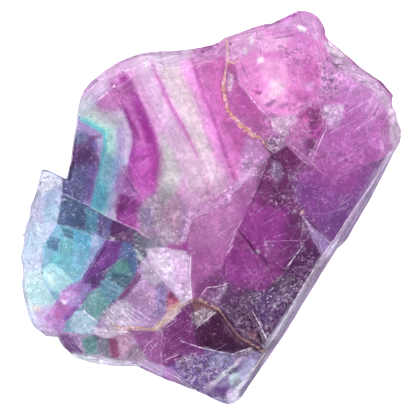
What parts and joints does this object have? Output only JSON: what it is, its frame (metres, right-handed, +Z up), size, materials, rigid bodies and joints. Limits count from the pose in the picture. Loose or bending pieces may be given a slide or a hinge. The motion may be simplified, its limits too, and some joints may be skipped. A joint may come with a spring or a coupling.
{
  "type": "fluorite slab",
  "caption": "Rough slab of banded fluorite with a cleaved upper face, clay-filled seams and a flat resting face, for display or as a mineral specimen.",
  "frame": {"origin": "middle of the slab's bounding box in plan, on the level of its resting face", "axes": "+Z up out of the cleaved upper face, +Y along the slab's longest extent towards its crown, +X towards the pink lump and the long straight bevel"},
  "size_m": [0.0764, 0.0788, 0.0124],
  "materials": {
    "fluorite": "glassy cleavage faces with frosted breaks, banded purple, green and white"
  },
  "bodies": {
    "root": {"fluorite_slab": "fluorite"}
  },
  "joints": []
}
